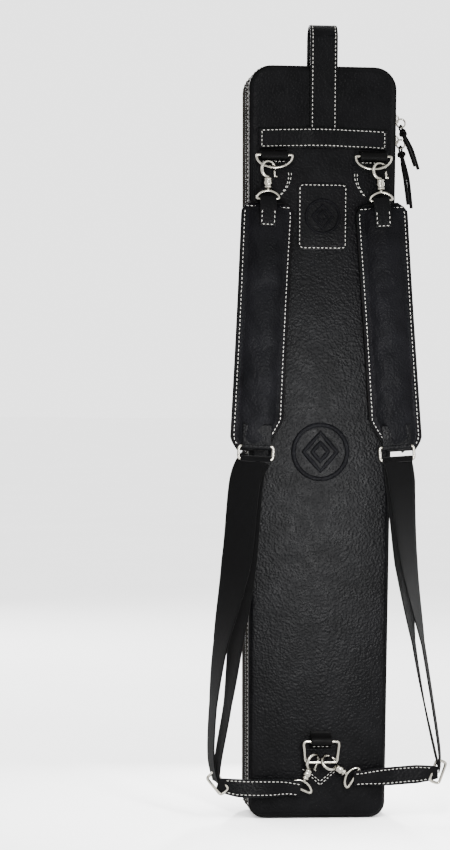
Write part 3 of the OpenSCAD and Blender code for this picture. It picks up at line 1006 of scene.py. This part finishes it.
def pad_half_width(t, outer=True):
    """Half width of the pad from its top (t = 0) to its foot (t = 1), where its inner corner is cut away."""
    w = PAD_W / 2
    if t < 0.04:
        return w * (0.66 + 0.34 * math.sin(math.radians(90 * t / 0.04)))
    start, cut = (0.955, 0.26) if outer else (0.87, 0.66)
    if t > start:
        return w * (1 - cut * ((t - start) / (1 - start)) ** 1.1)
    return w * (1 - 0.02 * math.sin(math.pi * (t - 0.04) / 0.9))


def puff(obj, free):
    """Lets the free vertices of a sewn pad fill out under pressure, as slack leather over foam does."""
    limit, frames = 1.6 * MM, 14
    scene = bpy.context.scene
    rest = [v.co.copy() for v in obj.data.vertices]
    pins = obj.vertex_groups.new(name="pins")
    pins.add([i for i in range(len(rest)) if i not in free], 1.0, "REPLACE")
    cloth = obj.modifiers.new("cloth", "CLOTH")
    c = cloth.settings
    c.vertex_group_mass = "pins"
    c.quality = 8
    c.mass = 0.3
    c.tension_stiffness = c.compression_stiffness = 15
    c.bending_stiffness = 2.5
    c.shrink_min = -0.006
    c.use_pressure = True
    c.uniform_pressure_force = 4
    c.effector_weights.gravity = 0
    cloth.point_cache.frame_start, cloth.point_cache.frame_end = 1, frames
    for f in range(1, frames + 1):
        scene.frame_set(f)
    done = obj.evaluated_get(bpy.context.evaluated_depsgraph_get()).to_mesh()
    moved = [v.co.copy() for v in done.vertices]
    obj.modifiers.remove(cloth)
    obj.vertex_groups.remove(pins)
    for v, a, b in zip(obj.data.vertices, rest, moved):
        step = b - a
        v.co = a + step * min(1.0, limit / max(step.length, 1e-9))
    scene.frame_set(1)


def pad(side):
    """A shoulder pad: a puffed cushion inside a flat stitched rim, with piping round its edge."""
    at, spin = pad_frame(side)
    body = f"{side}_strap"
    length = PAD_L + 4 * MM
    back = -2.3 * MM
    rows = 64
    welt_w = 6.5 * MM
    rings, uvs = [], []
    for i in range(rows + 1):
        t = 0.004 + 0.992 * i / rows
        halves = {1: pad_half_width(t, side == "left"), -1: pad_half_width(t, side == "right")}
        z = -length * t
        ring = []
        end = min(1.0, min(t, 1 - t) / 0.05)
        for u in (-1, -0.985, -0.95, -0.88, -0.80):
            ring.append((halves[-1] * u, back + (1.9 + 1.0 * (1 - abs(u) ** 8)) * MM))
        for k in range(-8, 9):
            u = k / 8
            swell = (1 - abs(u) ** 3.2) * end
            wave = noise.noise(Vector((u * 1.3, 0, z * 26))) * 0.7
            wave += noise.noise(Vector((u * 3, 7, z * 70))) * 0.25
            core = max(halves[1 if u > 0 else -1] - welt_w, 2 * MM)
            ring.append((core * u, back + (2.4 + 6.6 * swell + wave * swell) * MM))
        for u in (0.80, 0.88, 0.95, 0.985, 1):
            ring.append((halves[1] * u, back + (1.9 + 1.0 * (1 - abs(u) ** 8)) * MM))
        ring += [(halves[1 if u > 0 else -1] * u, back) for u in (0.97, 0.5, 0, -0.5, -0.97)]
        rings.append([at(x, y, z) for x, y in ring])
    cushion = Build().loft(rings).done(f"shoulder_pad_{side}", PEBBLED, None, "pebbled", [f"pad_{side}"])
    n = len(rings[0])
    puff(cushion, {i * n + k for i in range(3, rows - 3) for k in range(6, 21)})
    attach(cushion, body)
    out = spin @ Y

    def wide(s, t):
        return s * pad_half_width(t, (s > 0) == (side == "left"))
    edge = [[at(wide(s, t) - s * 2.8 * MM, back + 3.0 * MM, -length * t)
             for t in [0.03 + 0.95 * i / 60 for i in range(61)]] for s in (-1, 1)]
    top_half = pad_half_width(0.03) - 2.8 * MM
    crown = [at(x * top_half, back + 3.0 * MM, -length * 0.016) for x in (-1, -0.5, 0, 0.5, 1)]
    stitches(f"shoulder_pad_stitch_{side}", [(edge[0], out), (edge[1], out), (crown, out)], body)
    welt = [at(wide(s, t), back + 1.2 * MM, -length * t) for s, run in
            ((-1, [i / 60 for i in range(61)]), (1, [1 - i / 60 for i in range(61)])) for t in run]
    Build().sweep(welt, circle(1.25 * MM, 8), out, closed=True).done(
        f"shoulder_pad_welt_{side}", TRIM, body, "trim")


def pad_fold(side):
    """The leather tongue that folds over the hook's eye and is sewn to the pad's face."""
    at, spin = pad_frame(side)
    body = f"{side}_strap"
    r = 2.6 * MM
    path = [at(0, 7.6 * MM, -27 * MM), at(0, 8.6 * MM, -18 * MM), at(0, 8.2 * MM, -8 * MM), at(0, 6 * MM, 0)]
    path += [at(*p) for p in arc_yz(Vector((0, 0, 5 * MM)), r, range(20, 200, 20))]
    path += [at(0, -1.9 * MM, 0), at(0, -2.6 * MM, -8 * MM)]
    dense = smooth_path(path, 4)
    side_v = spin @ X
    Build().sweep(dense, flat_section(19 * MM, 1.8 * MM), lambda i, tan: side_v.cross(tan)).done(
        f"pad_fold_{side}", SMOOTH, body, "leather", [f"pad_tab_{side}"])
    out = spin @ Y
    rows = [([at(s * 7.2 * MM, 9.9 * MM, z * MM) for z in (-24, -16, -8)], out) for s in (-1, 1)]
    rows.append(([at(x * MM, 8.9 * MM, -25 * MM) for x in (-7, 0, 7)], out))
    stitches(f"pad_fold_stitch_{side}", rows, body)


def pad_ring(side):
    """The ring at a pad's foot, and the leather tail that holds it."""
    at, spin = pad_frame(side)
    body = f"{side}_strap"
    centre = at(0, 0, PAD_FOOT - 9 * MM)
    box_ring(f"pad_ring_wire_{side}", centre, 43 * MM, 18.5 * MM, PADS[side][1], f"pad_ring_{side}", body,
             1.8 * MM)
    bar = at(0, 0, -PAD_L + 0.4 * MM)
    r = 3.3 * MM
    path = [at(0, 5.2 * MM, -PAD_L + 26 * MM), at(0, 4.8 * MM, -PAD_L + 12 * MM)]
    path += [bar + spin @ p for p in arc_yz(Vector(), r, range(40, -200, -20))]
    path += [at(0, -2.6 * MM, -PAD_L + 10 * MM)]
    dense = smooth_path(path, 4)
    side_v = spin @ X
    Build().sweep(dense, flat_section(33 * MM, 1.7 * MM), lambda i, tan: tan.cross(side_v)).done(
        f"pad_tail_{side}", SMOOTH, body, "leather")


for side in SIDES:
    pad(side)
    pad_fold(side)
    pad_ring(side)


# ---------------------------------------------------------------- webbing below the pads
# height, middle in X and visible width of each layer, in mm
WEB_ROWS = {
    "left": (((386, 88, 35), (294, 97, 33), (202, 114, 13), (132, 122, 5), (72, 124, 4)),
             ((386, 84, 35), (294, 89, 30), (202, 97, 14), (132, 105, 5), (72, 115, 4))),
    "right": (((386, -93, 33), (294, -102, 24), (202, -119, 9), (132, -131, 8), (80, -139, 8)),
              ((386, -90, 33), (294, -97, 26), (202, -109, 9), (132, -122, 6), (80, -134, 7)))}


def webbing(side):
    """Two layers of webbing from the pad ring, which turn edge-on on their way to the adjuster."""
    s = SIDES[side]
    at, spin = pad_frame(side)
    bar = at(0, 0, PAD_FOOT - 16.4 * MM)
    glide = middle(f"glide_{side}")
    strap = f"{side}_strap"
    full = 36
    for layer, rows in enumerate(WEB_ROWS[side]):
        deep = 2.0 if layer == 0 else -2.0
        knots = [bar + Y * (deep * 0.6 * MM)]
        knots += [Vector((x, 0, z)) * MM + Y * (RING_Y + deep * MM) for z, x, w in rows]
        knots.append(glide + Vector((s * 2, deep * 0.3, 2)) * MM)
        path = smooth_path(knots, 12)
        shown = [34] + [w for z, x, w in rows] + [rows[-1][2]]

        def out(i, tangent):
            k = min(i / 12, len(shown) - 1.001)
            w = shown[int(k)] + (shown[int(k) + 1] - shown[int(k)]) * (k - int(k))
            turn = math.acos(min(1, w / full))
            return Y * math.cos(turn) + X * (s * math.sin(turn))
        b = Build().sweep(path, flat_section(full * MM, 1.5 * MM, 3), out)
        obj = b.done(f"webbing_{side}_{'outer' if layer == 0 else 'inner'}", WEBBING, None, "webbing",
                     [f"webbing_{side}"] if layer == 0 else (), uv=True)
        tuple(bar)
        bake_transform(obj)
    # the turn round the pad ring's lower bar
    loop = [bar + spin @ p for p in arc_yz(Z * 0.2 * MM, 2.9 * MM, range(-60, 241, 15))]
    side_v = spin @ X
    Build().sweep(loop, flat_section(35 * MM, 1.5 * MM, 3), lambda i, tan: side_v.cross(tan)).done(
        f"webbing_turn_{side}", WEBBING, strap, "webbing", uv=True)


for side in SIDES:
    webbing(side)
for side, turn in (("left", 40), ("right", -20)):
    node = f"glide_{side}"
    box_ring(f"adjuster_{side}", middle(node), 15 * MM, 29 * MM, turn, node, "rear_half")


def end_tab(side):
    """The stitched leather end between the adjuster and the lower hook's eye."""
    glide = middle(f"glide_{side}")
    eye, tilt = LOWER_HOOKS[side]
    tilt = math.radians(tilt)
    along = Vector((-math.sin(tilt), 0, -math.cos(tilt)))
    eye = eye + along * 34 * MM
    drop = 4 if side == "left" else 1
    knots = [glide + Vector((0, 0.5, -1)) * MM,
             glide.lerp(eye, 0.25) + Vector((0, -0.5, -drop)) * MM,
             glide.lerp(eye, 0.55) + Vector((0, 1.2, -drop * 0.6)) * MM,
             glide.lerp(eye, 0.82) + Vector((0, 2.0, drop * 0.2)) * MM,
             eye + Vector((0, 1.2, 0)) * MM]
    path = smooth_path(knots, 10)
    total = len(path) - 1

    def out(i, tangent):
        t = i / total
        turn = math.radians(30 * math.sin(t * 5.0) - 24 * (1 - t))
        return Y * math.cos(turn) + Z * math.sin(turn)
    widths = [0.72 + 0.28 * min(1, 4 * i / total) for i in range(total + 1)]
    Build().sweep(path, flat_section(21 * MM, 3.0 * MM), out, widths=widths).done(
        f"strap_end_{side}", SMOOTH, "rear_half", "leather", [f"end_tab_{side}"])
    rows = []
    for e in (-1, 1):
        row = []
        for i in range(4, total - 1):
            tangent = (path[i + 1] - path[i - 1]).normalized()
            n = out(i, tangent)
            n = (n - tangent * n.dot(tangent)).normalized()
            row.append(path[i] + tangent.cross(n) * (e * 7.6 * MM * widths[i]) + n * 1.62 * MM)
        rows.append((row, Y))
    stitches(f"strap_end_stitch_{side}", rows, "rear_half")


for side in SIDES:
    end_tab(side)


# ---------------------------------------------------------------- zip sliders and laced pulls
def slider(name, node, body):
    """A zip slider: two shaped plates, their post, and the bridge that holds the pull."""
    a, b = low(node), high(node)
    y, z = (a.y + b.y) / 2, (a.z + b.z) / 2
    x1 = b.x
    bl = Build()
    shape = ((-6, 3.0), (-5.4, 3.8), (-2, 4.4), (2, 4.6), (5, 3.6), (6, 2.6))
    for x_in, x_out, k in ((0.2, 1.4, 1.0), (2.9, 4.2, 0.92)):
        rings = [[Vector((x1 - x * MM, y + u * w * k * MM, z + h * MM)) for x, u in
                  ((x_in, -1), (x_in, 1), (x_out - 0.3, 1), (x_out, 0.8), (x_out, -0.8), (x_out - 0.3, -1))]
                 for h, w in shape]
        bl.loft(rings)
    bl.lathe(Vector((x1 - 1 * MM, y, z + 3 * MM)), -X, [(0, 1.4 * MM), (2.5 * MM, 1.4 * MM)], 12)
    bridge = [Vector((x1 - x * MM, y, z + h * MM))
              for x, h in ((4, 4), (6.2, 3.2), (6.8, 0), (6.2, -3.2), (4, -4))]
    bl.sweep(smooth_path(bridge, 5), circle(0.9 * MM, 8), Y)
    bl.done(name, NICKEL, body, "nickel", [node])


def knot(b, centre, r, wire_r, seed):
    """A tight leather knot: a closed lace wound three times about a small ball."""
    path = []
    for i in range(72):
        t = 2 * math.pi * i / 72
        rho = r * (0.62 + 0.30 * math.cos(3 * t))
        turn = 2 * t + seed
        path.append(centre + Vector((rho * math.cos(turn), r * 0.55 * math.sin(3 * t), rho * math.sin(turn))))
    b.sweep(path, circle(wire_r, 7), Y, closed=True)


def pull_ring(name, node, body, anchor):
    ring = [anchor + Vector((c, 0, s)) for c, s in circle(5.0 * MM, 28)]
    Build().sweep(ring, circle(1.05 * MM, 9), Y, closed=True).done(
        name + "_ring", NICKEL, body, "nickel", [node])


def laced_pull(name, node, body, anchor, fall, seed):
    """A ring, a knotted lace and its two tails, falling from anchor by fall."""
    pull_ring(name, node, body, anchor)
    b = Build()
    top = anchor - Z * 5 * MM
    k = top + fall.normalized() * 8 * MM
    eye = [k, *(top + Vector(p) * MM for p in ((1.8, 1.4, -2), (0.4, 0.9, 2.6), (-1.6, -1.4, 0))), k]
    b.sweep(smooth_path(eye, 6), circle(1.15 * MM, 8), Y)
    knot(b, k, 4.2 * MM, 1.35 * MM, seed)
    b.done(name + "_lace", TRIM, body, "trim")
    for i, spread in enumerate((-1, 1)):
        end = k + fall + Vector((spread * 2.2 * MM, spread * 1.6 * MM, (0.06 * i) * fall.length))
        mid = k.lerp(end, 0.5) + Vector((spread * 1.4 * MM - 1.2 * MM, spread * 1.1 * MM, 0))
        path = smooth_path([k, k.lerp(mid, 0.5) + Vector((spread * 0.6 * MM, 0, 0)), mid, end], 8)
        width, thick = 3.9 * MM, 2.3 * MM
        tail = Build().sweep(path, [(u * width, v * thick) for u, v in circle(0.5, 8)], Y).done(
            f"{name}_tail_{i + 1}", TRIM, body, "trim")
        length = sum((q - p).length for p, q in zip(path, path[1:]))
        tuple(path[0])
        [tuple(p) for p in path]


def loop_pull(name, node, body, anchor, length):
    """A long folded leather pull with a stitched loop."""
    pull_ring(name, node, body, anchor)
    top = anchor - Z * 5 * MM
    # across and up in mm, and the share of the length below the ring: down one side, over the ring and back
    run = ((0, 0, 1), (-1.2, 0, 0.6), (-1.6, -8, 0), (-1.3, 0, 0), (0, 2.6, 0), (1.3, 0, 0), (1.5, -8, 0),
           (1.1, 0, 0.6), (0.6, 0.5, 0.98))
    path = [top + Vector((x, 0, z)) * MM - Z * (length * share) for x, z, share in run]
    Build().sweep(smooth_path(path, 8), flat_section(6.5 * MM, 1.2 * MM, 2), lambda i, tan: Y.cross(tan)).done(
        name + "_strap", TRIM, body, "trim")


def pull_anchor(joint):
    return Vector(JOINTS[joint]["pos_m"])


def fall_of(node, anchor):
    """Which way a pull's solid hangs from its ring."""
    a, b = low(node), high(node)
    y = anchor.y
    if b.y - anchor.y > 7 * MM:
        y = b.y - 2 * MM
    elif anchor.y - a.y > 7 * MM:
        y = a.y + 2 * MM
    return Vector((a.x + 3 * MM, y, a.z + 2 * MM)) - (anchor - Z * 13 * MM)


def laced(node, tag, seed):
    anchor = pull_anchor(f"{tag}_swing")
    laced_pull(f"{node}_laced", node, tag, anchor, fall_of(node, anchor), seed)


for letter, seed in (("a", 0.3), ("b", 1.4)):
    slider(f"main_slider_body_{letter}", f"main_slider_{letter}", f"main_runner_{letter}")
    laced(f"main_pull_{letter}", f"main_tag_{letter}", seed)
slider("upper_slider_body", "upper_slider", "upper_runner")
laced("upper_pull", "upper_tag", 2.2)
for letter in "ab":
    slider(f"lower_slider_body_{letter}", f"lower_slider_{letter}", f"lower_runner_{letter}")
loop_pull("lower_pull_a_loop", "lower_pull_a", "lower_tag_a", pull_anchor("lower_tag_a_swing"), 112 * MM)
laced("lower_pull_b", "lower_tag_b", 0.9)


# ---------------------------------------------------------------- light and floor
def add_stage():
    mesh = bpy.data.meshes.new("floor")
    half = 60.0
    square = [(x * half, y * half, 0) for x, y in ((-1, -1), (1, -1), (1, 1), (-1, 1))]
    mesh.from_pydata(square, [], [(0, 1, 2, 3)])
    floor = bpy.data.objects.new("floor", mesh)
    n = Nodes("pale_floor")
    n.tint(n.noise(2, 2), (0.93, 0.93, 0.93), (0.96, 0.96, 0.96))
    n.set(Roughness=0.9)
    mesh.materials.append(n.material)
    bpy.context.scene.collection.objects.link(floor)
    floor.location.z = -0.0011
    world = bpy.data.worlds.new("studio")
    world.use_nodes = True
    sky = world.node_tree.nodes["Background"]
    sky.inputs["Color"].default_value = (1, 1, 1, 1)
    sky.inputs["Strength"].default_value = 2.8
    bpy.context.scene.world = world

    def area(name, where, size, power, aim=Vector((0, 0, 0.45))):
        data = bpy.data.lights.new(name, "AREA")
        data.shape = "RECTANGLE"
        data.size, data.size_y = size
        data.energy = power
        lamp = bpy.data.objects.new(name, data)
        lamp.location = where
        lamp.rotation_euler = (aim - where).to_track_quat("-Z", "Y").to_euler()
        bpy.context.scene.collection.objects.link(lamp)

    for side in (1, -1):  # the same soft light on the back and on the front
        area("key", Vector((0.9, side * 2.4, 1.5)), (0.9, 1.5), 80)
        area("fill", Vector((-1.9, side * 1.5, 0.9)), (0.8, 2.0), 45)
        area("strip", Vector((-0.04, side * 0.42, 0.36)), (0.04, 0.42), 9, Vector((0, 0, 0.36)))


add_stage()
